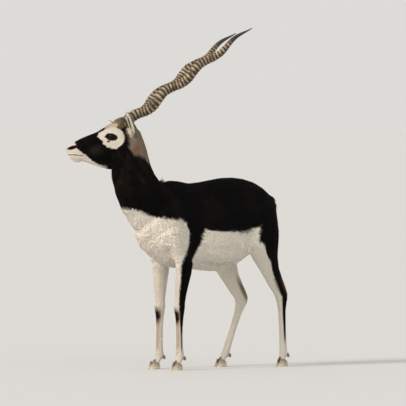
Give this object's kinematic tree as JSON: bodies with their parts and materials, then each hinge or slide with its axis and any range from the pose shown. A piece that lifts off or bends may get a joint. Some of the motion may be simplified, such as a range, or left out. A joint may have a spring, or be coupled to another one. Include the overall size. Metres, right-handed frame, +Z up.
{
  "type": "blackbuck",
  "caption": "Adult male blackbuck standing, a still life-size model with long spiral ringed horns, black and white coat and the head turned a little to its right",
  "frame": {"origin": "on the floor, under the middle of the whole animal's box", "axes": "+Z up, the body faces -Y, its left side is +X"},
  "size_m": [0.4584, 1.0022, 1.4163],
  "materials": {
    "coat": "short smooth fur, near black above and white below",
    "horn": "ringed horn sheath, pale ridges over dark grooves, smooth dark tip",
    "hoof": "dark hoof wall with pale dusty toe",
    "eye": "wet dark brown eye"
  },
  "bodies": {
    "root": {"head": "coat", "neck": "coat", "trunk": "coat", "tail": "coat", "ear_left": "coat", "eye_left": "eye", "horn_left": "horn", "ear_right": "coat", "eye_right": "eye", "horn_right": "horn", "leg_fore_left": "coat", "hoof_fore_left_outer": "hoof", "dewclaw_fore_left_outer": "hoof", "hoof_fore_left_inner": "hoof", "dewclaw_fore_left_inner": "hoof", "leg_fore_right": "coat", "hoof_fore_right_outer": "hoof", "dewclaw_fore_right_outer": "hoof", "hoof_fore_right_inner": "hoof", "dewclaw_fore_right_inner": "hoof", "leg_hind_left": "coat", "hoof_hind_left_outer": "hoof", "dewclaw_hind_left_outer": "hoof", "hoof_hind_left_inner": "hoof", "dewclaw_hind_left_inner": "hoof", "leg_hind_right": "coat", "hoof_hind_right_outer": "hoof", "dewclaw_hind_right_outer": "hoof", "hoof_hind_right_inner": "hoof", "dewclaw_hind_right_inner": "hoof"}
  },
  "joints": []
}
